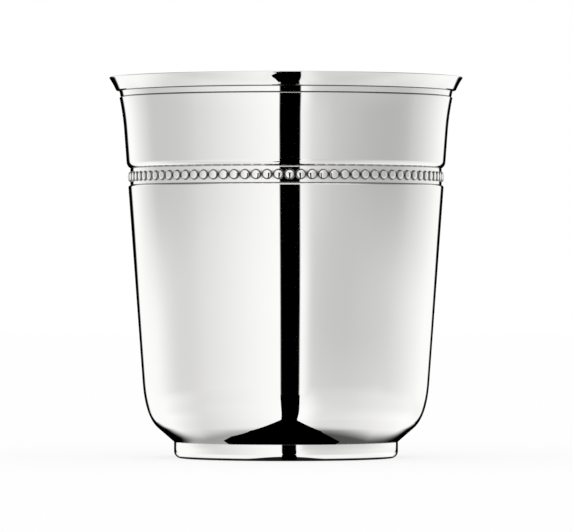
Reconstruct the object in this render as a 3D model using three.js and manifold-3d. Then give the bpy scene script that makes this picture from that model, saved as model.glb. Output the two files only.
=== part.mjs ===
// Silver-plated tumbler: a cup spun from brass sheet, with a moulding soldered round its mouth,
// a beaded band soldered into a rolled channel, and a foot ring soldered under its base.
// Millimetres, +Z up. The origin is the middle of the face that the foot rests on.
import * as THREE from "three";
import { mergeVertices } from "three/addons/utils/BufferGeometryUtils.js";
import Module from "manifold-3d";

// Overall sizes
const overallHeight = 80; // resting face to lip
const lipRadius = 37.15; // outermost edge of the mouth
const footRadius = 23.55;
const footHeight = 3.1;

// Cup
const wall = 0.75; // sheet thickness
const wallTaper = 4.2; // degrees, the cup widens upwards
const mouthFlare = 0.5; // how far the wall curls out of its straight taper below the mouth
const mouthFlareHeight = 7.1; // height of that curl
const heelLean = 49; // degrees, the cone between the wall and the foot
const heelUp = 7.3; // the heel's curve, from its corner up the wall
const heelDown = 3.6; // and from its corner down the cone
const heelShare = 0.75; // most of the cone that the curve may take up
const baseBend = 0.25; // bend between the cone and the flat base, outside
const floorBend = 2.2; // the same bend inside
const baseLedge = 0.1; // how far the foot stands out from the base
const baseDome = 1.2; // rise of the middle of the base

// Mouth moulding
const rimDepth = 4.03; // lip to the ledge that the moulding sits on
const lipOverhang = 2.12; // lip beyond the edge of the ledge
const lipEdge = 0.25; // rounding of the outer lip
const innerLipEdge = 0.5; // rounding of the cup's own edge, inside the lip
const arrisDepth = 2.7; // lip to the edge under the flared face
const arrisOverhang = 0.7; // that edge beyond the fillet below it
const filletHeight = 1.17; // plain fillet between the undercut and the ledge
const filletRecess = 0.25; // fillet behind the edge of the ledge
const filletLean = 13; // degrees
const flareHollow = 0.05; // hollow of the flared face
const kneeRise = 0.45; // ledge to the turn of the mouth from upright to flared
const mouldingThickness = 0.5;
const joggleHeight = 1.2; // inside of the step that carries the moulding

// Beaded band
const bandDrop = 20.9; // lip to the middle of the band
const bandRecess = 0.58; // face of the strip behind the wall
const stripThickness = 0.4;
const beadWidth = 2.23;
const beadGap = 0.08; // least space between two beads
const beadRise = 0.5; // top of a bead above the strip
const beadRoot = 0.1; // bead sunk into the strip
const beadTurn = 1.3; // degrees, the first bead from straight ahead
const bandMargin = 0.685; // plain strip above and below the beads, with its clearance
const bandFit = 0.05; // clearance between the strip and the sides of its channel
const shoulderRadius = 1.6; // rounded upper edge of the channel
const channelEdge = 0.45; // rounded lower edge of the channel
const ridgeRun = 1.55; // height of each flank of the ridge that the channel leaves inside

// Foot ring
const footWidth = 3.05;
const footEdge = 1.45; // outer rounding at the resting face
const footInnerEdge = 0.4;
const footTopEdge = 0.15;

// Solder
const solderGap = 0.08; // film between two soldered faces
const solderInset = 0.3; // film short of the visible edge of its joint

// Facets
const radialSegments = 48;
const curveSteps = 3;
const edgeSteps = 2;
const samePoint = 1e-6; // points nearer than this are one
const beadSides = 8;
const beadRings = 3;

const silver = { color: 0xe9e8e4, metalness: 1, roughness: 0.08 };
const solder = { color: 0xb9b8b2, metalness: 1, roughness: 0.4 };

const wasm = await Module();
wasm.setup();

const { degToRad, radToDeg } = THREE.MathUtils;
const at = (radius, height) => new THREE.Vector2(radius, height);
const bend = (from, corner, to, steps = curveSteps) =>
  new THREE.QuadraticBezierCurve(from, corner, to).getPoints(steps);
const sweep = (from, leave, arrive, to, steps = curveSteps) =>
  new THREE.CubicBezierCurve(from, leave, arrive, to).getPoints(steps);

// A straight side of a profile, leaning outwards by an angle from the axis.
function side(point, lean) {
  const slope = Math.tan(degToRad(lean));
  const radiusAt = (height) => point.x + slope * (height - point.y);
  return {
    slope,
    radiusAt,
    on: (height) => at(radiusAt(height), height),
    inward: (distance) => side(at(point.x - distance / Math.cos(degToRad(lean)), point.y), lean),
    meet: (other) => {
      const height = (other.radiusAt(0) - radiusAt(0)) / (slope - other.slope);
      return at(radiusAt(height), height);
    },
  };
}

// Revolves a profile of radius and height. The profile runs up the outside and down the inside.
function revolve(profile) {
  const apart = profile.filter((p, i) => i === 0 || p.distanceTo(profile[i - 1]) > samePoint);
  return new THREE.LatheGeometry(apart, radialSegments).rotateX(Math.PI / 2);
}

const ring = (section) => revolve([...section, section[0].clone()]);

// Heights and straight sides that the pieces share
const ledgeHeight = overallHeight - rimDepth;
const ledgeRadius = lipRadius - lipOverhang;
const flareStart = ledgeHeight - mouthFlareHeight;
const seatHeight = footHeight + solderGap;
const baseRadius = footRadius - baseLedge;
const bandHeight = overallHeight - bandDrop;
const channelHeight = beadWidth + 2 * bandMargin;
const channelTop = bandHeight + channelHeight / 2;
const channelBottom = bandHeight - channelHeight / 2;

const wallSide = side(at(ledgeRadius - mouthFlare, ledgeHeight), wallTaper);
const coneSide = side(at(baseRadius, seatHeight), heelLean);
const filletSide = side(at(ledgeRadius - filletRecess, ledgeHeight), filletLean);
const lipPoint = at(lipRadius, overallHeight - lipEdge);
const kneePoint = filletSide.on(ledgeHeight + kneeRise);
const flareLean = 90 - radToDeg(lipPoint.clone().sub(kneePoint).angle());
const flareSide = side(lipPoint, flareLean);

const stripRadius = wallSide.radiusAt(bandHeight) - bandRecess;
const stripBackRadius = stripRadius - stripThickness;
const channelRadius = stripBackRadius - solderGap;

// The wall's outside: a straight taper that curls out below the mouth.
function wallRadius(height) {
  const curl = Math.max(0, height - flareStart) / mouthFlareHeight;
  return wallSide.radiusAt(height) + mouthFlare * curl ** 2;
}

function wallCurl(fromHeight, toHeight, inset) {
  return Array.from({ length: curveSteps + 1 }, (_, i) => {
    const height = THREE.MathUtils.lerp(fromHeight, toHeight, i / curveSteps);
    return at(wallRadius(height) - inset, height);
  });
}

// The heel's curve between the wall and the cone, for the outside or the inside of the sheet.
function heelCurve(inset) {
  const cone = coneSide.inward(inset);
  const upper = wallSide.inward(inset);
  const corner = upper.meet(cone);
  const coneLength = (corner.y - seatHeight) / Math.cos(degToRad(heelLean));
  const down = Math.min(heelDown, heelShare * coneLength) * Math.cos(degToRad(heelLean));
  return bend(cone.on(corner.y - down), corner, upper.on(corner.y + heelUp), curveSteps + 1);
}

// The channel, rolled into the wall: a crisp lower edge, a flat floor and a round shoulder.
function channelOutline() {
  const edge = wallSide.on(channelBottom);
  const shoulderHeight = channelTop + shoulderRadius;
  const shoulder = at(wallSide.radiusAt(shoulderHeight) - shoulderRadius, shoulderHeight);
  const reach = THREE.MathUtils.clamp((channelRadius - shoulder.x) / shoulderRadius, 0, 1);
  const arc = new THREE.EllipseCurve(
    shoulder.x, shoulder.y, shoulderRadius, shoulderRadius, -Math.acos(reach), 0, false, 0);
  return [
    ...bend(wallSide.on(channelBottom - channelEdge), edge,
      at(edge.x - channelEdge, channelBottom), edgeSteps),
    at(channelRadius, channelBottom),
    at(channelRadius, channelTop),
    ...arc.getPoints(curveSteps + 1),
  ];
}

// The ridge that the channel leaves inside, from its top to its bottom.
function ridgeOutline() {
  const inner = wallSide.inward(wall);
  const crest = channelRadius - wall;
  const top = channelTop + ridgeRun;
  const bottom = channelBottom - ridgeRun;
  const lead = ridgeRun / 2;
  return [
    ...sweep(inner.on(top), inner.on(top - lead), at(crest, channelTop + lead), at(crest, channelTop)),
    ...sweep(at(crest, channelBottom), at(crest, channelBottom - lead),
      inner.on(bottom + lead), inner.on(bottom)),
  ];
}

// One layer of the mouth, so far in from the moulding's visible face: its lower end, its knee and its top.
function mouthLayer(inset) {
  const lower = filletSide.inward(inset);
  const upper = flareSide.inward(inset);
  return { lower, upper, knee: lower.meet(upper), top: upper.on(overallHeight) };
}

function cupBody() {
  const seat = mouthLayer(mouldingThickness + solderGap);
  const inside = mouthLayer(mouldingThickness + solderGap + wall);
  const joggleFoot = at(wallRadius(ledgeHeight - joggleHeight) - wall, ledgeHeight - joggleHeight);
  const joggleLead = joggleHeight / 2;
  const floorHeight = seatHeight + wall;
  const floorSide = coneSide.inward(wall);
  const floorCorner = floorSide.on(floorHeight);
  const flatRadius = footRadius - footWidth;

  const outsideProfile = [
    ...bend(at(0, seatHeight + baseDome), at(flatRadius / 2, seatHeight + baseDome),
      at(flatRadius, seatHeight)),
    ...bend(at(baseRadius - baseBend, seatHeight), coneSide.on(seatHeight),
      coneSide.on(seatHeight + baseBend), edgeSteps),
    ...heelCurve(0),
    ...channelOutline(),
    ...wallCurl(flareStart, ledgeHeight, 0),
    at(seat.lower.radiusAt(ledgeHeight), ledgeHeight),
    seat.knee,
    seat.top,
  ];
  const insideProfile = [
    ...bend(at(inside.top.x + innerLipEdge, overallHeight), inside.top,
      inside.upper.on(overallHeight - innerLipEdge), edgeSteps),
    ...sweep(inside.knee, inside.lower.on(inside.knee.y - joggleLead),
      at(joggleFoot.x, joggleFoot.y + joggleLead), joggleFoot),
    ...wallCurl(ledgeHeight - joggleHeight, flareStart, wall),
    ...ridgeOutline(),
    ...heelCurve(wall).reverse(),
    ...bend(floorSide.on(floorHeight + floorBend / 2), floorCorner,
      at(floorCorner.x - floorBend, floorHeight)),
    ...bend(at(flatRadius - floorBend, floorHeight), at(flatRadius / 2, floorHeight + baseDome),
      at(0, floorHeight + baseDome)),
  ];
  return revolve([...outsideProfile, ...insideProfile]);
}

function rimMoulding() {
  const back = mouthLayer(mouldingThickness);
  const foot = ledgeHeight + solderGap;
  const undercut = filletSide.on(ledgeHeight + filletHeight);
  const arris = at(undercut.x + arrisOverhang, overallHeight - arrisDepth);
  const flare = lipPoint.clone().sub(arris);
  const hollow = at(-flare.y, flare.x).setLength(2 * flareHollow); // the curve's control lies twice as deep
  const flareMiddle = arris.clone().lerp(lipPoint, 0.5).add(hollow);
  return ring([
    back.lower.on(foot),
    filletSide.on(foot),
    undercut,
    ...bend(arris, flareMiddle, lipPoint, edgeSteps),
    ...bend(lipPoint, at(lipRadius, overallHeight), at(lipRadius - lipEdge, overallHeight), edgeSteps),
    back.top,
    back.knee,
  ]);
}

function rimSolder() {
  const outer = mouthLayer(mouldingThickness);
  const inner = mouthLayer(mouldingThickness + solderGap);
  const top = overallHeight - solderInset;
  return ring([inner.knee, outer.knee, outer.upper.on(top), inner.upper.on(top)]);
}

function solidOf(geometry) {
  const bare = geometry.clone();
  bare.deleteAttribute("normal");
  bare.deleteAttribute("uv");
  const { attributes, index } = mergeVertices(bare);
  return new wasm.Manifold(new wasm.Mesh({
    numProp: 3,
    vertProperties: attributes.position.array,
    triVerts: new Uint32Array(index.array),
  }));
}

function geometryOf(solid) {
  const { vertProperties, triVerts } = solid.getMesh();
  const geometry = new THREE.BufferGeometry();
  geometry.setAttribute("position", new THREE.BufferAttribute(vertProperties, 3));
  geometry.setIndex(new THREE.BufferAttribute(triVerts, 1));
  geometry.computeVertexNormals();
  return geometry;
}

// A rounded bead that stands on the strip, with its axis along +X.
function bead() {
  const crown = Array.from({ length: beadRings }, (_, i) => {
    const angle = (i / beadRings) * (Math.PI / 2);
    return at((beadWidth / 2) * Math.cos(angle), (beadRise + beadRoot) * Math.sin(angle) - beadRoot);
  });
  const profile = [at(0, -beadRoot), ...crown, at(0, beadRise)];
  return new THREE.LatheGeometry(profile, beadSides).rotateZ(-Math.PI / 2);
}

// The strip and its beads are rolled in one piece and bent into a hoop. Its middle is at height 0.
function beadBand() {
  const reach = channelHeight / 2 - bandFit;
  const count = Math.floor((2 * Math.PI * stripRadius) / (beadWidth + beadGap));
  const strip = ring([
    at(stripBackRadius, -reach), at(stripRadius, -reach),
    at(stripRadius, reach), at(stripBackRadius, reach),
  ]);
  const straightAhead = -Math.PI / 2 + degToRad(beadTurn);
  let band = solidOf(strip);
  for (let i = 0; i < count; i++) {
    const placed = bead().translate(stripRadius, 0, 0).rotateZ(straightAhead + (2 * Math.PI * i) / count);
    band = band.add(solidOf(placed));
  }
  return geometryOf(band);
}

function bandSolder() {
  const reach = channelHeight / 2 - bandFit - solderInset;
  return ring([
    at(channelRadius, -reach), at(stripBackRadius, -reach),
    at(stripBackRadius, reach), at(channelRadius, reach),
  ]);
}

function footRing() {
  const bore = footRadius - footWidth;
  return ring([
    ...bend(at(bore, footInnerEdge), at(bore, 0), at(bore + footInnerEdge, 0), edgeSteps),
    ...bend(at(footRadius - footEdge, 0), at(footRadius, 0), at(footRadius, footEdge)),
    at(footRadius, footHeight - footTopEdge),
    at(footRadius - footTopEdge, footHeight),
    at(bore, footHeight),
  ]);
}

function footSolder() {
  const bore = footRadius - footWidth + solderInset;
  const outer = baseRadius - baseBend - solderInset;
  return ring([at(bore, 0), at(outer, 0), at(outer, solderGap), at(bore, solderGap)]);
}

function piece(name, geometry, finish) {
  const mesh = new THREE.Mesh(geometry, new THREE.MeshStandardMaterial(finish));
  mesh.name = name;
  return mesh;
}

function assembly(height, ...pieces) {
  const group = new THREE.Group();
  group.position.z = height;
  group.add(...pieces);
  return group;
}

const tumbler = new THREE.Group();
tumbler.name = "tumbler";
tumbler.add(
  piece("cup_body", cupBody(), silver),
  piece("rim_moulding", rimMoulding(), silver),
  piece("rim_solder", rimSolder(), solder),
  assembly(bandHeight,
    piece("bead_band", beadBand(), silver),
    piece("band_solder", bandSolder(), solder)),
  piece("foot_ring", footRing(), silver),
  assembly(footHeight, piece("foot_solder", footSolder(), solder)),
);

export default tumbler;
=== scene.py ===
import math

import bmesh
import bpy
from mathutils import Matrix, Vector


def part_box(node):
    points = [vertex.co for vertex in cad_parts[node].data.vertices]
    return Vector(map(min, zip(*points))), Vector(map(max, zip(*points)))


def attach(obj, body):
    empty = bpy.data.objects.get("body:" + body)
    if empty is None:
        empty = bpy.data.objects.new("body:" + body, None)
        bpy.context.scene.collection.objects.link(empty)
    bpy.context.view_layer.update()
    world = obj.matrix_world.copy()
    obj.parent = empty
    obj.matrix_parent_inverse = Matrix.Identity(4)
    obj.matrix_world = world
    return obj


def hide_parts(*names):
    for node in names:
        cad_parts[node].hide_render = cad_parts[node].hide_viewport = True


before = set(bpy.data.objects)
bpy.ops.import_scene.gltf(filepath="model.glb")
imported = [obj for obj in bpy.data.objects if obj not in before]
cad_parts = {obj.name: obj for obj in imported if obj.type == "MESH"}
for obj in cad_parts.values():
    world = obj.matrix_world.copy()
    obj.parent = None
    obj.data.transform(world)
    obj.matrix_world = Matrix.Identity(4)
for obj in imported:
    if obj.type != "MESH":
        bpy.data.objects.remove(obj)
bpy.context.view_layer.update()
scene = bpy.context.scene
scene.view_settings.view_transform = "Standard"
print("frame loaded,", len(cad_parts), "nodes")

mm = 0.001  # profiles are in millimetres, meshes in metres
roundSteps = 288  # steps round the axis
arcStep = 9  # degrees, each step of a rounded corner
cornerShare = 0.49  # the most of a side that a rounding takes
crispFrom = 50  # degrees, edges that turn more stay crisp
onAxis = 1e-6  # mm, a smaller radius is on the axis


# A profile's point is radius and height, with a rounding if it is a corner.
# A line is its radius at height 0 and its slope.
def leaning(point, degrees):
    slope = math.tan(math.radians(degrees))
    return point[0] - slope * point[1], slope


def on(line, height):
    return line[0] + line[1] * height, height


def inward(line, distance):
    return line[0] - distance * math.hypot(1, line[1]), line[1]


def meet(first, second):
    return on(first, (second[0] - first[0]) / (first[1] - second[1]))


def curve(controls, steps):
    points = []
    for i in range(steps + 1):
        left = controls
        while len(left) > 1:
            left = [tuple(Vector(a).lerp(Vector(b), i / steps)) for a, b in zip(left, left[1:])]
        points.append(left[0])
    return points


def arc(middle, radius, start, end, steps):
    turns = [start + (end - start) * i / steps for i in range(steps + 1)]
    return [(middle[0] + radius * math.cos(t), middle[1] + radius * math.sin(t)) for t in turns]


def soften(path):
    points = []
    for i, point in enumerate(path):
        if len(point) == 2:
            points.append(point)
            continue
        corner = Vector(point[:2])
        back = Vector(path[i - 1][:2]) - corner
        ahead = Vector(path[(i + 1) % len(path)][:2]) - corner
        half = back.angle(ahead) / 2
        reach = min(point[2] / math.tan(half), cornerShare * back.length, cornerShare * ahead.length)
        toBack, toAhead = back.normalized(), ahead.normalized()
        middle = corner + (toBack + toAhead).normalized() * reach / math.cos(half)
        start = corner + toBack * reach - middle
        end = corner + toAhead * reach - middle
        steps = max(2, math.ceil(math.degrees(math.pi - 2 * half) / arcStep))
        for k in range(steps + 1):
            points.append(tuple(middle + start.length * start.slerp(end, k / steps).normalized()))
    return points


def lathe(name, profile, closed=True, slotOf=None):
    # the profile runs up the outside and down the inside
    corners, faces, slots, rings = [], [], [], []
    for radius, height in profile:
        if radius < onAxis:
            rings.append([len(corners)])
            corners.append((0, 0, height * mm))
            continue
        rings.append(range(len(corners), len(corners) + roundSteps))
        for i in range(roundSteps):
            turn = 2 * math.pi * i / roundSteps
            corners.append((radius * mm * math.cos(turn), radius * mm * math.sin(turn), height * mm))
    pairs = list(zip(rings, rings[1:]))
    if closed:
        pairs.append((rings[-1], rings[0]))
    for band, (low, high) in enumerate(pairs):
        for i in range(roundSteps):
            j = (i + 1) % roundSteps
            quad = low[i % len(low)], low[j % len(low)], high[j % len(high)], high[i % len(high)]
            faces.append(tuple(dict.fromkeys(quad)))
            slots.append(slotOf(band) if slotOf else 0)
    mesh = bpy.data.meshes.new(name)
    mesh.from_pydata(corners, [], faces)
    mesh.polygons.foreach_set("material_index", slots)
    return addPiece(name, mesh)


def addPiece(name, mesh):
    mesh.shade_smooth()
    mesh.set_sharp_from_angle(angle=math.radians(crispFrom))
    piece = bpy.data.objects.new(name, mesh)
    scene.collection.objects.link(piece)
    flats = piece.modifiers.new("flatsKeepTheirNormals", "WEIGHTED_NORMAL")
    flats.keep_sharp = True
    return piece


def fit(piece, node, slot, *finishes):
    for finish in finishes:
        piece.data.materials.append(finish)
    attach(piece, "root")
    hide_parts(node)
    print("made", piece.name, "with", len(piece.data.polygons), "faces")


# Finishes
def newFinish(name):
    finish = bpy.data.materials.new(name)
    finish.use_nodes = True
    finish.node_tree.nodes.clear()
    return finish


def addNode(tree, kind, inputs=None, **settings):
    made = tree.nodes.new("ShaderNode" + kind)
    for name, value in settings.items():
        setattr(made, name, value)
    for name, value in (inputs or {}).items():
        if isinstance(value, bpy.types.NodeSocket):
            tree.links.new(value, made.inputs[name])
        else:
            made.inputs[name].default_value = value
    return made


def shadeRange(tree, value, low, high, toLow, toHigh, smooth=False):
    ends = {"Value": value, "From Min": low, "From Max": high, "To Min": toLow, "To Max": toHigh}
    kind = "SMOOTHSTEP" if smooth else "LINEAR"
    return addNode(tree, "MapRange", ends, interpolation_type=kind).outputs["Result"]


def maths(tree, operation, *values):
    return addNode(tree, "Math", dict(enumerate(values)), operation=operation).outputs[0]


def mixTones(tree, amount, first, second):
    return addNode(tree, "MixRGB", {"Fac": amount, "Color1": first, "Color2": second}).outputs[0]


def noise(tree, scale, detail, **place):
    return addNode(tree, "TexNoise", {"Scale": scale, "Detail": detail, **place}).outputs[0]


def rampOf(tree, value, stops, interpolation="LINEAR"):
    made = addNode(tree, "ValToRGB", {"Fac": value})
    made.color_ramp.interpolation = interpolation
    elements = made.color_ramp.elements
    while len(elements) < len(stops):
        elements.new(1)
    for element, (place, colour) in zip(elements, stops):
        element.position = place
        element.color = (*colour, 1)
    return made.outputs["Color"]


def greyRamp(tree, value, stops, interpolation="LINEAR"):
    return rampOf(tree, value, [(place, (tone, tone, tone)) for place, tone in stops], interpolation)


def metal(tree, tone, gloss, relief, depth, metallic=1):
    bump = addNode(tree, "Bump", {"Height": relief, "Strength": 1, "Distance": depth}).outputs[0]
    shader = addNode(tree, "BsdfPrincipled", {"Base Color": tone, "Metallic": metallic, "Roughness": gloss,
                                              "Normal": bump})
    addNode(tree, "OutputMaterial", {"Surface": shader.outputs[0]})


silverSet = {
    "clean": (0.975, 0.972, 0.962),
    "warm": (0.962, 0.956, 0.940),  # where the plate has begun to warm
    "warmFrom": (0.35, 0.7),
    "tarnishAndShade": (0.045, 0.043, 0.039),  # tarnish and painted shade, left in the seams, round each bead and between the beads
    "gloss": (0.018, 0.036),
    "glossFrom": (0.1, 0.45),
    "tarnishAndShadeGloss": 0.12,
    "cloudScale": 70,
    "buffScale": (45, 45, 2600),  # marks of the buff run round the cup
    "wave": 0.000004,
}


def polishedSilver(seams):
    finish = newFinish("polishedSilver")
    tree = finish.node_tree
    place = addNode(tree, "TexCoord").outputs["Object"]
    cloud = noise(tree, silverSet["cloudScale"], detail=3, Vector=place)
    stretch = addNode(tree, "Mapping", {"Vector": place, "Scale": silverSet["buffScale"]}).outputs[0]
    buff = noise(tree, scale=1, detail=2, Vector=stretch)
    tone = rampOf(tree, cloud, list(zip(silverSet["warmFrom"], (silverSet["clean"], silverSet["warm"]))))
    # the recess attribute holds painted shade: a dark ring round each bead and dark strip between the beads
    dark = addNode(tree, "Attribute", attribute_name="recess").outputs["Fac"]
    height = addNode(tree, "SeparateXYZ", {"Vector": place}).outputs["Z"]
    # tarnish and painted shade along each seam
    for seam, reach, amount in seams:
        away = maths(tree, "ABSOLUTE", maths(tree, "SUBTRACT", height, seam * mm))
        inSeam = shadeRange(tree, away, reach / 2 * mm, reach * mm, amount, 0, smooth=True)
        dark = maths(tree, "MAXIMUM", dark, inSeam)
    tinted = mixTones(tree, dark, tone, (*silverSet["tarnishAndShade"], 1))
    marks = maths(tree, "MULTIPLY", cloud, buff)
    polish = shadeRange(tree, marks, *silverSet["glossFrom"], *silverSet["gloss"])
    gloss = maths(tree, "ADD", polish, maths(tree, "MULTIPLY", dark, silverSet["tarnishAndShadeGloss"]))
    metal(tree, tinted, gloss, cloud, silverSet["wave"])
    return finish


spunSet = {
    "pale": (0.93, 0.925, 0.91),
    "dull": (0.88, 0.872, 0.85),
    "dullFrom": (0.3, 0.75),
    "cloudScale": 60,
    "gloss": (0.22, 0.34),
    "glossFrom": (0.25, 0.75),
    "metal": 0.75,  # the fine spinning lines scatter some of the light
    "lineScale": 3200,
    "lineDepth": 0.000006,
}


def spunSilver():
    finish = newFinish("spunSilver")
    tree = finish.node_tree
    place = addNode(tree, "TexCoord").outputs["Object"]
    split = addNode(tree, "SeparateXYZ", {"Vector": place}).outputs
    flat = addNode(tree, "CombineXYZ", {"X": split["X"], "Y": split["Y"]}).outputs[0]
    radius = addNode(tree, "VectorMath", {0: flat}, operation="LENGTH").outputs["Value"]
    along = maths(tree, "MULTIPLY", maths(tree, "SUBTRACT", radius, split["Z"]), spunSet["lineScale"])
    lines = addNode(tree, "TexNoise", {"W": along, "Scale": 1, "Detail": 3}, noise_dimensions="1D").outputs[0]
    cloud = noise(tree, spunSet["cloudScale"], detail=2, Vector=place)
    tone = rampOf(tree, cloud, list(zip(spunSet["dullFrom"], (spunSet["pale"], spunSet["dull"]))))
    gloss = shadeRange(tree, lines, *spunSet["glossFrom"], *spunSet["gloss"])
    metal(tree, tone, gloss, lines, spunSet["lineDepth"], spunSet["metal"])
    return finish


solderSet = {
    "bright": (0.80, 0.795, 0.775),
    "grey": (0.66, 0.655, 0.63),
    "greyFrom": (0.35, 0.7),
    "gloss": (0.2, 0.4),
    "glossFrom": (0.3, 0.7),
    "grainScale": 900,
    "grainDepth": 0.00001,
}


def flowedSolder():
    finish = newFinish("flowedSolder")
    tree = finish.node_tree
    place = addNode(tree, "TexCoord").outputs["Object"]
    grain = noise(tree, solderSet["grainScale"], detail=3, Vector=place)
    tone = rampOf(tree, grain, list(zip(solderSet["greyFrom"], (solderSet["bright"], solderSet["grey"]))))
    gloss = shadeRange(tree, grain, *solderSet["glossFrom"], *solderSet["gloss"])
    metal(tree, tone, gloss, grain, solderSet["grainDepth"])
    return finish


def frameBox(node):
    low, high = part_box(node)
    return low / mm, high / mm


# Sizes taken from the frame
footRise = 0.3  # the foot's top edge is drawn a little higher than the solid's
rimDrop = 0.2  # and the moulding's lower edge a little lower
cupLow = frameBox("cup_body")[0]
rimLow, rimHigh = frameBox("rim_moulding")
bandLow, bandHigh = frameBox("bead_band")
footHigh = frameBox("foot_ring")[1]
lipHeight, lipRadius = rimHigh.z, rimHigh.x
footHeight, footRadius = footHigh.z + footRise, footHigh.x
jointGap = cupLow.z - footHigh.z  # room for solder
seatHeight = footHeight + jointGap  # underside of the base
ledgeHeight = rimLow.z - rimDrop - jointGap
bandHeight = (bandLow.z + bandHigh.z) / 2
bandReach = (bandHigh.z - bandLow.z) / 2

cupSet = {
    "wall": 0.75,
    "wallTaper": 4.2,  # degrees
    "mouthFlare": 0.5,
    "mouthFlareHeight": 7.1,
    "mouthFlat": 0.02,  # on top of the seat, outside the rounded lip
    "ledgeEdge": 0.22,
    "heelLean": 49,  # degrees, the cone above the foot
    "heelUp": 7.3,
    "heelDown": 3.6,
    "heelShare": 0.75,  # the most of the cone that the heel's curve takes
    "baseLedge": 0.02,  # foot beyond the base
    "baseLift": 0.005,  # the base's edge is burnished down over the joint
    "baseRim": 0.3,
    "baseDome": 1.2,
    "floorBend": 2.2,
    "floorCorner": 3.52,
    "innerLipEdge": 0.5,
    "innerKneeEdge": 1.2,
    "joggleDrop": 0.6,  # below the knee
    "joggleHeight": 1.2,
    "channelFit": 0.05,  # room above and below the strip
    "channelEdge": 0.45,
    "channelCorner": 0.12,
    "shoulder": 1.6,
    "shoulderLap": 0.02,  # beyond the strip's face
    "shoulderEdge": 0.03,
    "ridgeRun": 1.55,  # the channel's ridge inside the cup
    "polishedBands": 12,  # inside the lip, and satin below them
}
rimSet = {
    "lipOverhang": 2.12,
    "lipEdge": 0.25,
    "lipRound": 0.12,
    "lipLean": 34,  # degrees, the flared face below the lip
    "arrisDepth": 2.7,
    "arrisOverhang": 0.7,
    "arrisEdge": 0.07,
    "undercutEdge": 0.08,
    "filletHeight": 1.37,
    "filletRecess": 0.3,
    "filletLean": 13,  # degrees
    "filletEdge": 0.05,
    "kneeRise": 0.65,
    "thickness": 0.5,
    "solderTop": 0.01,  # below the lip
    "solderBack": 0.04,  # behind the fillet's face
}
bandSet = {
    "recess": 0.58,
    "strip": 0.4,
    "stripEdge": 0.12,
    "edgeSteps": 5,
    "beadWidth": 2.12,
    "beadGap": 0.19,
    "beadRise": 0.5,
    "beadDrop": 0.03,  # below the middle of the strip
    "beadFullness": 0.8,  # 1 is an ellipse, less is a flatter top
    "beadTurn": 1.3,  # degrees, the first bead from straight ahead
    "crownTurn": 84,  # degrees, from a bead's top to its fillet
    "filletRun": 0.03,  # where a bead runs into the strip
    "filletBend": 0.25,
    "paintedBeadRing": (0.71, 0.84, 1.2),  # painted dark ring round each bead: begins, is darkest and ends, as shares of a bead's radius
    "paintedBeadRingLeft": 0.4,  # how much of the painted ring is left where it ends
    "paintedBeadRingEdge": 0.03,  # from a bead to metal without painted shade, above and below it
    "paintedGapShade": (0.55, 0.85),  # painted shade: towards the next bead the strip is dark
    "paintedGapShadeFrom": 0.95,  # share of a bead's radius
    "paintedGapShadeUp": 0.85,  # less so above and below the middle
    "spokes": 32,
    "rings": 12,
    "solderBack": 0.02,  # inside the strip's edges
    "solderEdge": 0.02,
}
footSet = {
    "width": 3.05,
    "edge": 1.45,
    "innerEdge": 0.4,
    "topEdge": 0.01,
    "boreEdge": 0.05,
    "solderIn": 0.1,  # from the bore
    "solderBack": 0.02,  # from the base's rim
    "solderHollow": 0.03,
}

# Lines that the pieces share
ledgeRadius = lipRadius - rimSet["lipOverhang"]
flareStart = ledgeHeight - cupSet["mouthFlareHeight"]
baseRadius = footRadius - cupSet["baseLedge"]
footBore = footRadius - footSet["width"]
channelTop = bandHeight + bandReach + cupSet["channelFit"]
channelBottom = bandHeight - bandReach - cupSet["channelFit"]
wallLine = leaning((ledgeRadius - cupSet["mouthFlare"], ledgeHeight), cupSet["wallTaper"])
coneLine = leaning((baseRadius, footHeight + cupSet["baseLift"]), cupSet["heelLean"])
filletLine = leaning((ledgeRadius - rimSet["filletRecess"], ledgeHeight), rimSet["filletLean"])
lipPoint = (lipRadius, lipHeight - rimSet["lipEdge"])
kneePoint = on(filletLine, ledgeHeight + rimSet["kneeRise"])
flareLean = math.degrees(math.atan2(lipPoint[0] - kneePoint[0], lipPoint[1] - kneePoint[1]))
flareLine = leaning(lipPoint, flareLean)
stripRadius = on(wallLine, bandHeight)[0] - bandSet["recess"]
stripBack = stripRadius - bandSet["strip"]
channelRadius = stripBack - jointGap
undercutHeight = ledgeHeight + rimSet["filletHeight"]


def wallRadius(height):
    curl = max(0, height - flareStart) / cupSet["mouthFlareHeight"]
    return on(wallLine, height)[0] + cupSet["mouthFlare"] * curl ** 2


def wallCurl(fromHeight, toHeight, inset, steps=24):
    heights = [fromHeight + (toHeight - fromHeight) * i / steps for i in range(steps + 1)]
    return [(wallRadius(z) - inset, z) for z in heights]


def heelCurve(inset, steps=40):
    cone, upper = inward(coneLine, inset), inward(wallLine, inset)
    corner = meet(upper, cone)
    down = min(cupSet["heelDown"] * math.cos(math.radians(cupSet["heelLean"])),
               cupSet["heelShare"] * (corner[1] - seatHeight))
    return curve([on(cone, corner[1] - down), corner, on(upper, corner[1] + cupSet["heelUp"])], steps)


def mouthLayer(inset):
    lower, upper = inward(filletLine, inset), inward(flareLine, inset)
    return lower, upper, meet(lower, upper), on(upper, lipHeight)


def shoulderArc(tries=8, steps=14):
    # from the strip's face, at the top of the channel, up to the wall
    radius, edge = cupSet["shoulder"], stripRadius + cupSet["shoulderLap"]
    middle = on(inward(wallLine, radius), channelTop + radius)
    for _ in range(tries):
        rise = math.sqrt(radius ** 2 - (edge - middle[0]) ** 2)
        middle = on(inward(wallLine, radius), channelTop + rise)
    start = -math.acos((edge - middle[0]) / radius)
    return arc(middle, radius, start, -math.radians(cupSet["wallTaper"]), steps)


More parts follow.
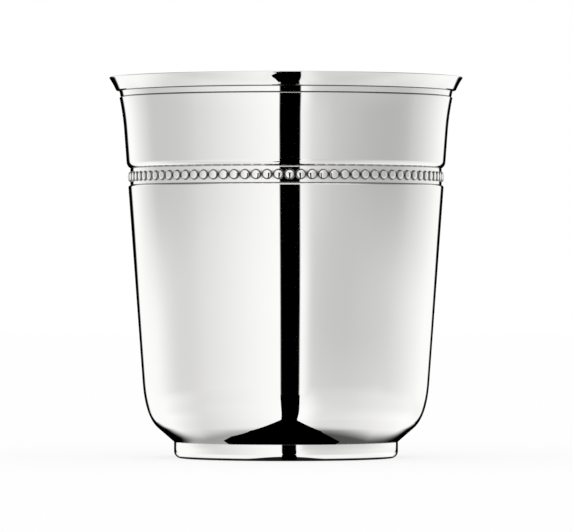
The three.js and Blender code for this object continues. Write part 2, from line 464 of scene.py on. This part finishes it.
# Tarnish and painted shade in each seam: its height, how far it reaches and how dark it is
seams = [
    (undercutHeight, 0.14, 0.9),
    (ledgeHeight + jointGap, 0.19, 1),
    (channelTop, 0.1, 0.2),
    (channelBottom + 0.09, 0.09, 0.7),  # above the edge that catches the light
]
silver = polishedSilver(seams)
spun = spunSilver()
solder = flowedSolder()
print("finishes made")


def makeCup():
    wall, dome = cupSet["wall"], cupSet["baseDome"]
    seatLower, _, seatKnee, seatTop = mouthLayer(rimSet["thickness"] + jointGap)
    inLower, _, inKnee, inTop = mouthLayer(rimSet["thickness"] + jointGap + wall)
    underside = curve([(0, seatHeight + dome), (footBore / 2, seatHeight + dome), (footBore, seatHeight)],
                      steps=24)
    burnishedRadius, burnishedHeight = baseRadius - cupSet["baseRim"], footHeight + cupSet["baseLift"]
    shoulder = shoulderArc()
    outside = soften([
        (burnishedRadius, seatHeight),
        (burnishedRadius, burnishedHeight),
        (baseRadius, burnishedHeight),
        *heelCurve(0),
        (*on(wallLine, channelBottom), cupSet["channelEdge"]),
        (channelRadius, channelBottom, cupSet["channelCorner"]),
        (channelRadius, channelTop, cupSet["channelCorner"]),
        (*shoulder[0], cupSet["shoulderEdge"]),
        *shoulder[1:],
        *wallCurl(flareStart, ledgeHeight, 0)[:-1],
        (wallRadius(ledgeHeight), ledgeHeight, cupSet["ledgeEdge"]),
        on(seatLower, ledgeHeight),
        seatKnee,
        seatTop,
    ])
    # inside, the wall steps in under the seat and bulges behind the channel
    joggleTop = inKnee[1] - cupSet["joggleDrop"]
    joggleFoot = ledgeHeight - cupSet["joggleHeight"]
    joggleRadius = wallRadius(joggleFoot) - wall
    lead = cupSet["joggleHeight"] / 4
    inner, crest = inward(wallLine, wall), channelRadius - wall
    ridgeTop, ridgeFoot = channelTop + cupSet["ridgeRun"], channelBottom - cupSet["ridgeRun"]
    run = cupSet["ridgeRun"] / 2
    floorHeight = seatHeight + wall
    inside = soften([
        (seatTop[0] - cupSet["mouthFlat"], lipHeight),
        (*inTop, cupSet["innerLipEdge"]),
        (*inKnee, cupSet["innerKneeEdge"]),
        *curve([on(inLower, joggleTop), on(inLower, joggleTop - lead), (joggleRadius, joggleFoot + lead),
                (joggleRadius, joggleFoot)], steps=12),
        *wallCurl(joggleFoot, flareStart, wall)[1:],
        *curve([on(inner, ridgeTop), on(inner, ridgeTop - run), (crest, channelTop + run),
                (crest, channelTop)], steps=14),
        *curve([(crest, channelBottom), (crest, channelBottom - run), on(inner, ridgeFoot + run),
                on(inner, ridgeFoot)], steps=14),
        *reversed(heelCurve(wall)),
        (*on(inward(coneLine, wall), floorHeight), cupSet["floorCorner"]),
        *curve([(footBore - cupSet["floorBend"], floorHeight), (footBore / 2, floorHeight + dome),
                (0, floorHeight + dome)], steps=24),
    ])
    polishedFrom = len(underside)
    polishedTo = polishedFrom + len(outside) + cupSet["polishedBands"]
    cup = lathe("cupBody", [*underside, *outside, *inside], closed=False,
                slotOf=lambda band: 0 if polishedFrom <= band < polishedTo else 1)
    fit(cup, "cup_body", "silver_plate", silver, spun)


def makeRim():
    lower, upper, knee, top = mouthLayer(rimSet["thickness"])
    foot = ledgeHeight + jointGap
    undercut = on(filletLine, undercutHeight)
    arris = (undercut[0] + rimSet["arrisOverhang"], lipHeight - rimSet["arrisDepth"])
    # the flared face is slightly hollow and runs smoothly into the round lip
    rounding, lean = rimSet["lipRound"], math.radians(rimSet["lipLean"])
    lip = arc((lipRadius - rounding, lipHeight - rounding), rounding, -lean, math.pi / 2, steps=14)
    halfFlare = math.dist(arris, lip[0]) / 2
    hollow = (lip[0][0] - halfFlare * math.sin(lean), lip[0][1] - halfFlare * math.cos(lean))
    profile = soften([
        on(lower, foot),
        (*on(filletLine, foot), rimSet["filletEdge"]),
        (*undercut, rimSet["undercutEdge"]),
        (*arris, rimSet["arrisEdge"]),
        *curve([arris, hollow, lip[0]], steps=12)[1:-1],
        *lip,
        top,
        knee,
    ])
    fit(lathe("rimMoulding", profile), "rim_moulding", "silver_plate", silver)
    # solder between the moulding and the seat, up to the lip and out to the ledge
    inLower, inUpper, inKnee, _ = mouthLayer(rimSet["thickness"] + jointGap)
    outer = (filletLine[0] - rimSet["solderBack"], filletLine[1])
    solderTop = lipHeight - rimSet["solderTop"]
    seam = [on(inLower, ledgeHeight), on(outer, ledgeHeight), on(outer, foot), on(lower, foot),
            knee, on(upper, solderTop), on(inUpper, solderTop), inKnee]
    fit(lathe("rimSeam", seam), "rim_solder", "solder", solder)


def makeBand():
    tiny = 1e-9  # keeps a division by nothing away
    weld = 1e-7  # metres, corners nearer than this become one
    near = 0.001  # mm, how closely a corner is found again
    count = math.floor(2 * math.pi * stripRadius / (bandSet["beadWidth"] + bandSet["beadGap"]))
    pitch = 2 * math.pi / count
    halfPitch = pitch * stripRadius / 2
    half, rise, drop = bandSet["beadWidth"] / 2, bandSet["beadRise"], bandSet["beadDrop"]
    edge = bandSet["stripEdge"]
    reach = bandReach - edge  # half the height of the strip's flat face
    spokes, rings = bandSet["spokes"], bandSet["rings"]
    spokeTurns = [2 * math.pi * s / spokes for s in range(spokes)]

    # the bead's crown, from its top to where it runs into the strip
    angles = [math.radians(bandSet["crownTurn"] * i / rings) for i in range(1, rings + 1)]
    crown = [(half * math.sin(a), rise * math.cos(a) ** bandSet["beadFullness"]) for a in angles]
    crownEdge, crownEnd = crown[-1]
    run, bend = bandSet["filletRun"], bandSet["filletBend"]
    crown += [(crownEdge + bend * run, bend * crownEnd), (crownEdge + run, 0.0)]
    ringShadeTo = crownEdge + run + bandSet["paintedBeadRingEdge"]

    # the strip's rounded edges and its back, from its upper edge to its lower one
    upperSide = [(up, out) for out, up in arc((-edge, reach), edge, 0, math.pi / 2, bandSet["edgeSteps"])]
    upperSide.append((bandReach, -bandSet["strip"]))
    stripSide = upperSide + [(-up, out) for up, out in reversed(upperSide)]

    corner = round(math.atan2(reach, halfPitch) / (2 * math.pi) * spokes)
    corners = [corner, spokes // 2 - corner, spokes // 2 + corner, spokes - corner]

    def cellEdge(spoke):
        # where a spoke from the bead's middle leaves its stretch of the strip's face
        if spoke in corners:
            return (halfPitch * (1 if spoke in (corners[0], corners[3]) else -1),
                    reach * (1 if spoke in corners[:2] else -1))
        across, up = math.cos(spokeTurns[spoke]), math.sin(spokeTurns[spoke])
        grow = min(halfPitch / max(abs(across), tiny), reach / max(abs(up), tiny))
        return grow * across, grow * up

    cell = [cellEdge(s) for s in range(spokes)]
    mesh = bmesh.new()
    # recess: painted shade for each corner, a dark ring round each bead and dark strip between the beads
    recess = mesh.verts.layers.float.new("recess")

    # painted shade on the strip, towards the next bead
    def gapShadeAt(spoke, up):
        low, high = bandSet["paintedGapShade"]
        side = (abs(math.cos(spokeTurns[spoke])) - low) / (high - low)
        return min(1.0, max(0.0, side)) * max(0.0, 1 - (up / bandSet["paintedGapShadeUp"]) ** 2)

    # painted dark ring round each bead, down into its fillet
    def beadRingShadeAt(share):
        begin, darkest, end = bandSet["paintedBeadRing"]
        if share < darkest:
            return max(0.0, (share - begin) / (darkest - begin))
        return 1 - (1 - bandSet["paintedBeadRingLeft"]) * min(1.0, (share - darkest) / (end - darkest))

    def addCorner(turn, across, up, out, depth=0.0):
        around = turn + across / stripRadius
        radius = (stripRadius + out) * mm
        made = mesh.verts.new((radius * math.cos(around), radius * math.sin(around), (bandHeight + up) * mm))
        made[recess] = depth
        return made

    firstTurn = -math.pi / 2 + math.radians(bandSet["beadTurn"])
    for bead in range(count):
        turn = firstTurn + bead * pitch
        top = addCorner(turn, 0, -drop, rise)
        loops = []
        for away, out in [*crown, (ringShadeTo, 0.0)]:
            ring = beadRingShadeAt(away / half) if away < ringShadeTo else 0.0
            loop = []
            for s in range(spokes):
                across, up = away * math.cos(spokeTurns[s]), away * math.sin(spokeTurns[s])
                between = gapShadeAt(s, up) if away > bandSet["paintedGapShadeFrom"] * half else 0.0
                loop.append(addCorner(turn, across, up - drop, out, max(ring, between)))
            loops.append(loop)
        loops.append([addCorner(turn, across, up, 0, gapShadeAt(s, up))
                      for s, (across, up) in enumerate(cell)])
        for s in range(spokes):
            n = (s + 1) % spokes
            mesh.faces.new((top, loops[0][s], loops[0][n]))
            for inner, outer in zip(loops, loops[1:]):
                mesh.faces.new((inner[s], outer[s], outer[n], inner[n]))
        # edges and back of the strip
        upper = [cell[s][0] for s in range(corners[0], corners[1] + 1)]
        turned = [[addCorner(turn, across, up, out) for across in upper] for up, out in stripSide]
        for first, second in zip(turned, turned[1:]):
            for i in range(len(upper) - 1):
                mesh.faces.new((first[i], second[i], second[i + 1], first[i + 1]))
    bmesh.ops.remove_doubles(mesh, verts=mesh.verts, dist=weld)
    bmesh.ops.recalc_face_normals(mesh, faces=mesh.faces)
    data = bpy.data.meshes.new("beadBand")
    mesh.to_mesh(data)
    mesh.free()
    band = addPiece("beadBand", data)
    # the strip's face stays flat up to its rounded edges
    flatEnds = {i for i, vertex in enumerate(data.vertices)
                if abs(abs(vertex.co.z / mm - bandHeight) - reach) < near
                and vertex.co.xy.length / mm > stripRadius - near}
    for side in data.edges:
        if flatEnds.issuperset(side.vertices):
            side.use_edge_sharp = True
    fit(band, "bead_band", "silver_plate", silver)
    back, rounding = bandSet["solderBack"], bandSet["solderEdge"]
    low, high = bandHeight - bandReach + back, bandHeight + bandReach - back
    seam = soften([(channelRadius, low, rounding), (stripBack, low, rounding),
                   (stripBack, high, rounding), (channelRadius, high, rounding)])
    fit(lathe("bandSeam", seam), "band_solder", "solder", solder)


def makeFoot():
    profile = soften([
        (footBore, 0, footSet["innerEdge"]),
        (footRadius, 0, footSet["edge"]),
        (footRadius, footHeight, footSet["topEdge"]),
        (footBore, footHeight, footSet["boreEdge"]),
    ])
    fit(lathe("footRing", profile), "foot_ring", "silver_plate", silver)
    inner = footBore + footSet["solderIn"]
    outer = baseRadius - cupSet["baseRim"] - footSet["solderBack"]
    seam = [(inner, footHeight), (outer, footHeight),
            (outer - footSet["solderHollow"], footHeight + jointGap / 2),
            (outer, seatHeight), (inner, seatHeight)]
    fit(lathe("footSeam", seam), "foot_solder", "solder", solder)


makeCup()
makeRim()
makeBand()
makeFoot()

# Camera, level with the lower half of the cup, in millimetres. Only clipEnd is in metres.
cameraSet = {"distance": 1178, "height": 36.26, "aim": 40.36, "lens": 352.4, "sensor": 36, "clipEnd": 20}


def makeCamera():
    camera = bpy.data.objects.new("camera", bpy.data.cameras.new("camera"))
    scene.collection.objects.link(camera)
    camera.data.lens = cameraSet["lens"]
    camera.data.sensor_width = cameraSet["sensor"]
    camera.data.clip_end = cameraSet["clipEnd"]
    camera.location = (0, -cameraSet["distance"] * mm, cameraSet["height"] * mm)
    sight = Vector((0, 0, cameraSet["aim"] * mm)) - camera.location
    camera.rotation_mode = "QUATERNION"
    camera.rotation_quaternion = sight.to_track_quat("-Z", "Y")
    scene.camera = camera


# The studio, in metres
black = (0, 0, 0, 1)


def addStage(name, mesh, finish, reflectedOnly=False):
    mesh.materials.append(finish)
    made = bpy.data.objects.new(name, mesh)
    scene.collection.objects.link(made)
    if reflectedOnly:
        made.visible_camera = made.visible_diffuse = made.visible_shadow = False
        made.visible_transmission = made.visible_volume_scatter = False
        finish.cycles.emission_sampling = "NONE"
    return made


def mixShaders(tree, amount, first, second):
    return addNode(tree, "MixShader", {0: amount, 1: first, 2: second}).outputs[0]


def glowOf(tree, tone):
    return addNode(tree, "Emission", {"Color": tone, "Strength": 1}).outputs[0]


def placeOf(tree):
    return addNode(tree, "SeparateXYZ", {"Vector": addNode(tree, "NewGeometry").outputs["Position"]}).outputs


def tablePlace(tree):
    place = placeOf(tree)
    x, y = place["X"], place["Y"]
    squares = maths(tree, "ADD", maths(tree, "MULTIPLY", x, x), maths(tree, "MULTIPLY", y, y))
    return x, y, maths(tree, "SQRT", squares)


def turnFrom(tree, x, y):
    return maths(tree, "DEGREES", maths(tree, "ARCTAN2", x, maths(tree, "MULTIPLY", y, -1)))


# Tones that the polish shows, by angle: degrees from the camera, + to the right
panelSet = {
    "upper": [(-132, 1.0), (-105, 0.67), (-90, 0.59), (-60, 0.69), (-6, 0.98), (9.5, 0.94), (16, 0.74),
              (30, 0.59), (70, 0.48), (92, 0.6), (132, 0.96)],
    "lower": [(-130, 1.0), (-108, 0.93), (-86, 0.72), (-60, 0.77), (-7, 0.99), (12, 0.97), (17, 0.7),
              (25, 0.6), (50, 0.59), (84, 0.72), (125, 0.99)],
    "heel": [(-130, 1.0), (-108, 0.93), (-86, 0.735), (-60, 0.79), (-7, 0.99), (12, 0.97), (17, 0.76),
             (25, 0.68), (50, 0.68), (70, 0.75), (86, 0.785), (125, 0.99)],
    "table": [(-97, 1.0), (-70, 0.8), (-51, 0.775), (-7, 0.99), (12, 0.96), (18, 0.82), (25, 0.72),
              (51, 0.76), (95, 0.925), (120, 0.94)],
    "bottom": [(-122, 1.0), (-105, 0.8), (-82, 0.64), (-64, 0.67), (-20, 0.87), (16, 0.86), (28, 0.67),
               (45, 0.6), (80, 0.66), (102, 0.77), (122, 0.98)],
}


def panelTone(tree, angle, name):
    along = shadeRange(tree, angle, -180, 180, 0, 1)
    stops = [((degrees + 180) / 360, tone) for degrees, tone in panelSet[name]]
    return greyRamp(tree, along, stops, "CARDINAL")


# Painted black on either side, seen only in the polish, to draw the cup's edges there. It lies behind a line
# that runs out from start by slope and bend, and further than inner from the middle.
sideSet = {
    "foot": {"start": (0.0233, -0.0034), "shift": 0, "slope": 0.44, "bend": 0,
             "soft": 0.001, "fade": 0.002, "inner": -0.01},
    "heel": {"start": (0.0348, 0.012), "shift": 0, "slope": 0.354, "bend": 0,
             "soft": 0.001, "fade": 0.002, "inner": -0.01},
    "ring": {"start": (0.0239, -0.009), "shift": 0.0005, "slope": 0.71, "bend": 10.2,
             "soft": 0.0016, "fade": 0.0078, "inner": 0.019},  # shifted, for more black on the left
}


def besideCup(tree, x, y, name):
    side = sideSet[name]
    (startX, startY), soft, inner = side["start"], side["soft"], side["inner"]
    across = maths(tree, "ABSOLUTE", maths(tree, "ADD", x, side["shift"]))
    back = maths(tree, "SUBTRACT", y, startY)
    slope = maths(tree, "MULTIPLY_ADD", back, -side["bend"], side["slope"])
    edge = maths(tree, "MULTIPLY_ADD", back, slope, startX)
    within = shadeRange(tree, maths(tree, "SUBTRACT", edge, across), -soft, soft, 0, 1, smooth=True)
    outside = shadeRange(tree, across, inner - soft, inner + soft, 0, 1, smooth=True)
    behind = shadeRange(tree, back, -side["fade"], 0, 0, 1, smooth=True)
    return maths(tree, "MULTIPLY", maths(tree, "MULTIPLY", within, outside), behind)


# Pale floor. The polish shows it as a glowing table with painted tones, a painted shadow under the foot and
# painted black beside the cup.
floorSet = {
    "size": 3.0,
    "white": (0.97, 0.97, 0.97),
    "speck": 0.995,  # the paper is faintly specked
    "speckFrom": (0.3, 0.7),
    "speckScale": 40,
    "cameraGlow": 0.76,  # keeps the paper white where the camera looks at it
    "darkTo": (0.0244, 0.0231),  # painted shadow under the foot, in front and at the sides
    "darkTurn": (0, 22),  # degrees
    "darkSoft": 0.0003,
    "darkTone": 0.01,
    "fadeFrom": (0.062, 0.055),  # the light tent takes over from the table, in front and at the sides
    "fadeTo": (0.075, 0.115),
    "fadeTurn": (11, 18),  # degrees
    "paleFrom": (0.036, 0.026),  # painted paler close to the foot
    "pale": 0.95,
    "spreadFrom": (0.054, 0.0236),  # the panels' tones are drawn together towards the foot
    "spread": (1, 1.42),
    "liftFrom": (0.06, 0.033),  # and are painted paler on the right
    "liftTurn": (0, 0.012),
    "lift": 0.09,
}


def tableTone(tree, x, y, away):
    spread = shadeRange(tree, away, *floorSet["spreadFrom"], *floorSet["spread"], smooth=True)
    tone = panelTone(tree, maths(tree, "MULTIPLY", turnFrom(tree, x, y), spread), "table")
    near = shadeRange(tree, away, *floorSet["liftFrom"], 0, floorSet["lift"], smooth=True)
    lift = maths(tree, "MULTIPLY", near, shadeRange(tree, x, *floorSet["liftTurn"], 0, 1, smooth=True))
    return maths(tree, "MULTIPLY", tone, maths(tree, "ADD", lift, 1))


def makeFloor():
    finish = newFinish("paleFloor")
    tree = finish.node_tree
    path = addNode(tree, "LightPath").outputs
    white = floorSet["white"]
    speckled = [floorSet["speck"] * c for c in white]
    grain = noise(tree, floorSet["speckScale"], detail=2)
    paperTone = rampOf(tree, grain, list(zip(floorSet["speckFrom"], (white, speckled))))
    paper = addNode(tree, "BsdfDiffuse", {"Color": paperTone}).outputs[0]
    seen = mixShaders(tree, floorSet["cameraGlow"], paper, glowOf(tree, (1, 1, 1, 1)))
    looked = maths(tree, "MAXIMUM", path["Is Camera Ray"], path["Is Transmission Ray"])
    direct = mixShaders(tree, looked, paper, seen)

    # painted reflection of a table, glowing only for the polish: painted shadow under the foot, painted black
    # at the cup's sides
    x, y, away = tablePlace(tree)
    turned = maths(tree, "ABSOLUTE", turnFrom(tree, x, y))
    darkTo = shadeRange(tree, turned, *floorSet["darkTurn"], *floorSet["darkTo"], smooth=True)
    beyond = maths(tree, "SUBTRACT", away, darkTo)
    near = shadeRange(tree, beyond, 0, floorSet["darkSoft"], floorSet["darkTone"], 1)
    sides = maths(tree, "MAXIMUM", besideCup(tree, x, y, "foot"), besideCup(tree, x, y, "heel"))
    lit = maths(tree, "SUBTRACT", 1, sides)
    paler = shadeRange(tree, away, *floorSet["paleFrom"], 0, floorSet["pale"], smooth=True)
    tone = maths(tree, "MULTIPLY", near, maths(tree, "MAXIMUM", paler, tableTone(tree, x, y, away)))
    table = glowOf(tree, maths(tree, "MULTIPLY", tone, lit))
    fadeEnds = [shadeRange(tree, turned, *floorSet["fadeTurn"], *floorSet[name], smooth=True)
                for name in ("fadeFrom", "fadeTo")]
    fade = shadeRange(tree, away, *fadeEnds, 0, 1, smooth=True)
    clear = addNode(tree, "BsdfTransparent").outputs[0]
    mirrored = mixShaders(tree, maths(tree, "MULTIPLY", fade, lit), table, clear)

    addNode(tree, "OutputMaterial", {"Surface": mixShaders(tree, path["Is Glossy Ray"], direct, mirrored)})
    mesh = bpy.data.meshes.new("floor")
    size = floorSet["size"]
    mesh.from_pydata([(-size, -size, 0), (size, -size, 0), (size, size, 0), (-size, size, 0)], [],
                     [(0, 1, 2, 3)])
    addStage("floor", mesh, finish)


# Shade round the foot, seen only in the polish of the cone above it
ringSet = {
    "height": (footHeight - 0.03) * mm,  # just below the foot's top edge
    "inner": 0.02357,
    "outer": 0.034,
    "fadeFrom": 0.03,
    # tones from the inner edge outwards
    "left": [(0.0, 0.46), (0.06, 0.45), (0.1, 0.56), (0.15, 0.74), (0.2, 0.86), (0.28, 0.96), (1.0, 1.0)],
    "right": [(0.0, 0.1), (0.04, 0.11), (0.1, 0.33), (0.17, 0.64), (0.22, 0.82), (0.3, 0.95), (1.0, 1.0)],
    "turn": 0.008,  # from the left tones to the right ones
    "frontWider": (0.22, 0.24),  # the shade reaches further out in front
    "frontFrom": -0.017,
    "steps": 96,
}


def makeShadeRing():
    finish = newFinish("shadeRing")
    tree = finish.node_tree
    x, y, away = tablePlace(tree)
    toRight = shadeRange(tree, x, -ringSet["turn"], ringSet["turn"], 0, 1, smooth=True)
    ahead = maths(tree, "MINIMUM", maths(tree, "SUBTRACT", y, ringSet["frontFrom"]), 0)
    wider = shadeRange(tree, toRight, 0, 1, *ringSet["frontWider"])
    drawnIn = maths(tree, "MULTIPLY_ADD", ahead, wider, away)
    shaded = shadeRange(tree, drawnIn, ringSet["inner"], ringSet["outer"], 0, 1)
    edge = shadeRange(tree, away, ringSet["fadeFrom"], ringSet["outer"], 0, 1, smooth=True)
    out = maths(tree, "MAXIMUM", shaded, edge)
    shade = mixTones(tree, toRight, *(greyRamp(tree, out, ringSet[name]) for name in ("left", "right")))
    tone = maths(tree, "MULTIPLY", shade, tableTone(tree, x, y, away))
    lit = mixTones(tree, besideCup(tree, x, y, "ring"), tone, black)
    addNode(tree, "OutputMaterial", {"Surface": glowOf(tree, lit)})
    corners, faces = [], []
    steps = ringSet["steps"]
    for i in range(steps):
        around = 2 * math.pi * i / steps
        for radius in (ringSet["inner"], ringSet["outer"]):
            corners.append((radius * math.cos(around), radius * math.sin(around), ringSet["height"]))
        j = (i + 1) % steps
        faces.append((2 * i, 2 * i + 1, 2 * j + 1, 2 * j))
    mesh = bpy.data.meshes.new("shadeRing")
    mesh.from_pydata(corners, [], faces)
    addStage("shadeRing", mesh, finish, reflectedOnly=True)


# Light tent round the cup, seen only in the polish. Angles are as for the panels.
tentSet = {
    "radius": 0.15,
    "height": 0.04,
    "segments": (96, 48),
    # heights at which each row of panels gives way to the next
    "upperDownTo": 0.05,
    "lowerUpTo": 0.018,
    "lowerDownTo": 0.012,
    "heelUpTo": -0.012,
    "heelDownTo": -0.016,
    "bottomUpTo": -0.045,
    "slotUpper": (-4.1, 9.0),  # dark slot that the camera looks through
    "slotLower": (-3.9, 9.5),
    "slotSoft": 0.5,
    "slotTop": 0.085,
    "slotTopSoft": 0.004,
    "backUpper": (-142.7, 144.8),  # dark beyond this on either side
    "backLower": (-146, 147.6),
    "backSoft": 2,
    "ceilingFront": 0.95,
    "ceilingBack": 0.25,
    "ceilingFrom": (0.11, 0.14),
    "ceilingTurn": (-0.07, -0.03),
}


def makeTent():
    finish = newFinish("lightTent")
    tree = finish.node_tree
    place = placeOf(tree)
    x, y, z = (place[axis] for axis in "XYZ")
    angle = turnFrom(tree, x, y)

    def between(upper, lower):
        return shadeRange(tree, z, tentSet[upper], tentSet[lower], 0, 1, smooth=True)

    def past(value, edge, soft):
        return shadeRange(tree, maths(tree, "SUBTRACT", value, edge), -soft, soft, 0, 1, smooth=True)

    def edgesOf(name):
        # left and right edge, on a slant from the upper panels to the lower ones
        return [shadeRange(tree, low, 0, 1, *ends)
                for ends in zip(tentSet[name + "Upper"], tentSet[name + "Lower"])]

    low = between("upperDownTo", "lowerUpTo")
    lower = between("lowerDownTo", "heelUpTo")
    lowest = between("heelDownTo", "bottomUpTo")
    tone = panelTone(tree, angle, "upper")
    for share, name in ((low, "lower"), (lower, "heel"), (lowest, "bottom")):
        tone = mixTones(tree, share, tone, panelTone(tree, angle, name))

    left, right = edgesOf("slot")
    soft = tentSet["slotSoft"]
    openFront = maths(tree, "MAXIMUM", past(left, angle, soft), past(angle, right, soft))
    openFront = maths(tree, "MAXIMUM", openFront, past(z, tentSet["slotTop"], tentSet["slotTopSoft"]))
    left, right = edgesOf("back")
    soft = tentSet["backSoft"]
    openBack = maths(tree, "MULTIPLY", past(angle, left, soft), past(right, angle, soft))
    lit = mixTones(tree, maths(tree, "MULTIPLY", openFront, openBack), black, tone)
    high = shadeRange(tree, z, *tentSet["ceilingFrom"], 0, 1, smooth=True)
    ceiling = shadeRange(tree, y, *tentSet["ceilingTurn"], tentSet["ceilingFront"],
                         tentSet["ceilingBack"], smooth=True)
    addNode(tree, "OutputMaterial", {"Surface": glowOf(tree, mixTones(tree, high, lit, ceiling))})
    ball = bmesh.new()
    across, down = tentSet["segments"]
    bmesh.ops.create_uvsphere(ball, u_segments=across, v_segments=down, radius=tentSet["radius"])
    mesh = bpy.data.meshes.new("lightTent")
    ball.to_mesh(mesh)
    ball.free()
    addStage("lightTent", mesh, finish, reflectedOnly=True).location.z = tentSet["height"]


# Glowing cards in front of the cup, seen only in the polish, in millimetres: painted dark reflections, and a
# pale one over the beads as a painted highlight.
# Each has a tone, a height, a left and a right edge.
cardSet = {
    "onTable": (0, 0.2,
                [(-0.9, -22.4), (-1.4, -36), (-2, -44), (-4.8, -75)],
                [(2.2, -22.4), (3.9, -36), (5.8, -44), (11.8, -75)]),
    "atFoot": (0, footHeight - 0.02,
               [(-13.3, -20.3), (-11.9, -22.2), (-8.5, -24.8), (-1.35, -33), (-1.6, -40)],
               [(11.4, -21.2), (9.8, -23.1), (8.2, -24.7), (3.15, -32.4), (4.5, -40)]),
    "underShoulder": (0, channelTop - 0.15,
                      [(-6.1, -32.05), (-1.5, -33.07), (-1.35, -33.6), (-2.05, -42)],
                      [(8, -31.7), (3, -33), (2.85, -33.6), (4.3, -42)]),
    "overBeads": (0.9, channelTop - 0.2,
                  [(-1.35, -33.6), (-1.76, -38.5)],
                  [(2.85, -33.6), (3.7, -38.5)]),
    "underRim": (0, -25,
                 [(-8, -82), (-11.5, -89), (-18, -95.5), (-17.3, -103), (-14, -113.5), (-11.5, -126)],
                 [(15, -82), (17.8, -89), (18.8, -96.5), (19.7, -105), (19.8, -113), (19.2, -126)]),
}


def makeCards():
    for name, (tone, height, left, right) in cardSet.items():
        finish = newFinish(name)
        tree = finish.node_tree
        addNode(tree, "OutputMaterial", {"Surface": glowOf(tree, (tone, tone, tone, 1))})
        rows = len(left)
        corners = [(x * mm, y * mm, height * mm) for x, y in left + right]
        mesh = bpy.data.meshes.new(name)
        mesh.from_pydata(corners, [], [(i, i + 1, rows + i + 1, rows + i) for i in range(rows - 1)])
        addStage(name, mesh, finish, reflectedOnly=True)


def makeWorld():
    world = bpy.data.worlds.new("whiteRoom")
    world.use_nodes = True
    background = world.node_tree.nodes["Background"].inputs
    background["Color"].default_value = (1, 1, 1, 1)
    background["Strength"].default_value = 1
    scene.world = world


makeCamera()
makeFloor()
makeShadeRing()
makeTent()
makeCards()
makeWorld()
print("studio set")
